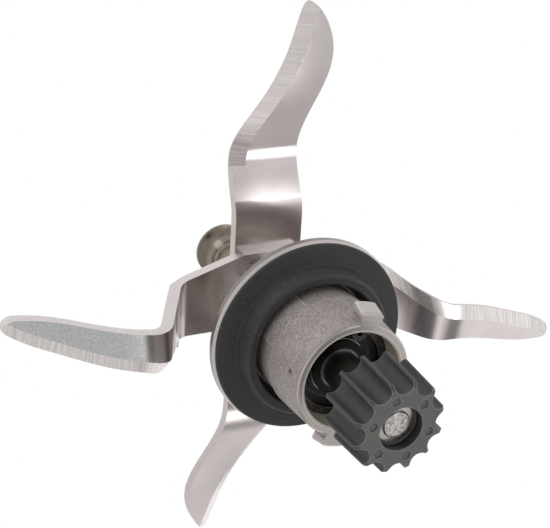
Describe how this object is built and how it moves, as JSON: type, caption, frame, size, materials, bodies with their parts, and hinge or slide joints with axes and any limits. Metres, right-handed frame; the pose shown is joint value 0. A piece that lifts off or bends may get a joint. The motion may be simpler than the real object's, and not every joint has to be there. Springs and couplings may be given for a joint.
{
  "type": "blender blade assembly",
  "caption": "Blender blade assembly: crossed bent steel blades on a ball-bearing spindle in a cast flanged housing with a rubber seal, bayonet lugs and a toothed drive coupling.",
  "frame": {"origin": "shaft axis at the plane of the seal's outer lower edge, where the assembly sits in the jar's base", "axes": "+Z along the shaft towards the blades, +X along the upper blade, +Y along the lower blade"},
  "size_m": [0.1018, 0.1032, 0.0709],
  "materials": {
    "cast_housing": "as cast, matte",
    "seal_rubber": "satin",
    "bearing_steel": "ground",
    "shield_rubber": "gloss",
    "spring_steel": "oiled",
    "lip_rubber": "satin",
    "shaft_steel": "turned",
    "blade_steel": "satin",
    "washer_steel": "satin",
    "cap_nickel": "satin nickel",
    "collar_steel": "blackened",
    "coupling_plastic": "satin",
    "insert_steel": "pressed",
    "cage_nylon": "moulded",
    "ball_steel": "polished"
  },
  "bodies": {
    "housing": {"bearing_housing": "cast_housing", "bowl_seal": "seal_rubber", "lower_bearing_outer_ring": "bearing_steel", "upper_bearing_outer_ring": "bearing_steel", "bearing_shields": "shield_rubber", "outer_ring_spacer": "bearing_steel", "retaining_circlip": "spring_steel", "shaft_seal": "lip_rubber"},
    "rotor": {"drive_shaft": "shaft_steel", "lower_bearing_inner_ring": "bearing_steel", "upper_bearing_inner_ring": "bearing_steel", "inner_ring_sleeve": "bearing_steel", "lower_blade": "blade_steel", "upper_blade": "blade_steel", "blade_washer": "washer_steel", "cap_nut": "cap_nickel", "coupling_collar": "collar_steel", "drive_coupling": "coupling_plastic", "coupling_insert": "insert_steel"},
    "lower_cage": {"lower_bearing_cage": "cage_nylon", "lower_bearing_balls": "ball_steel"},
    "upper_cage": {"upper_bearing_cage": "cage_nylon", "upper_bearing_balls": "ball_steel"}
  },
  "joints": [
    {"name": "blade_spin", "type": "hinge", "parent": "housing", "child": "rotor", "pos_m": [0, 0, 0], "axis": [0, 0, 1], "continuous": true},
    {"name": "lower_cage_spin", "type": "hinge", "parent": "housing", "child": "lower_cage", "pos_m": [0, 0, 0], "axis": [0, 0, 1], "continuous": true},
    {"name": "upper_cage_spin", "type": "hinge", "parent": "housing", "child": "upper_cage", "pos_m": [0, 0, 0], "axis": [0, 0, 1], "continuous": true}
  ],
  "couplings": [
    {"joint": "lower_cage_spin", "follows": "blade_spin", "ratio": 0.4},
    {"joint": "upper_cage_spin", "follows": "blade_spin", "ratio": 0.4}
  ]
}
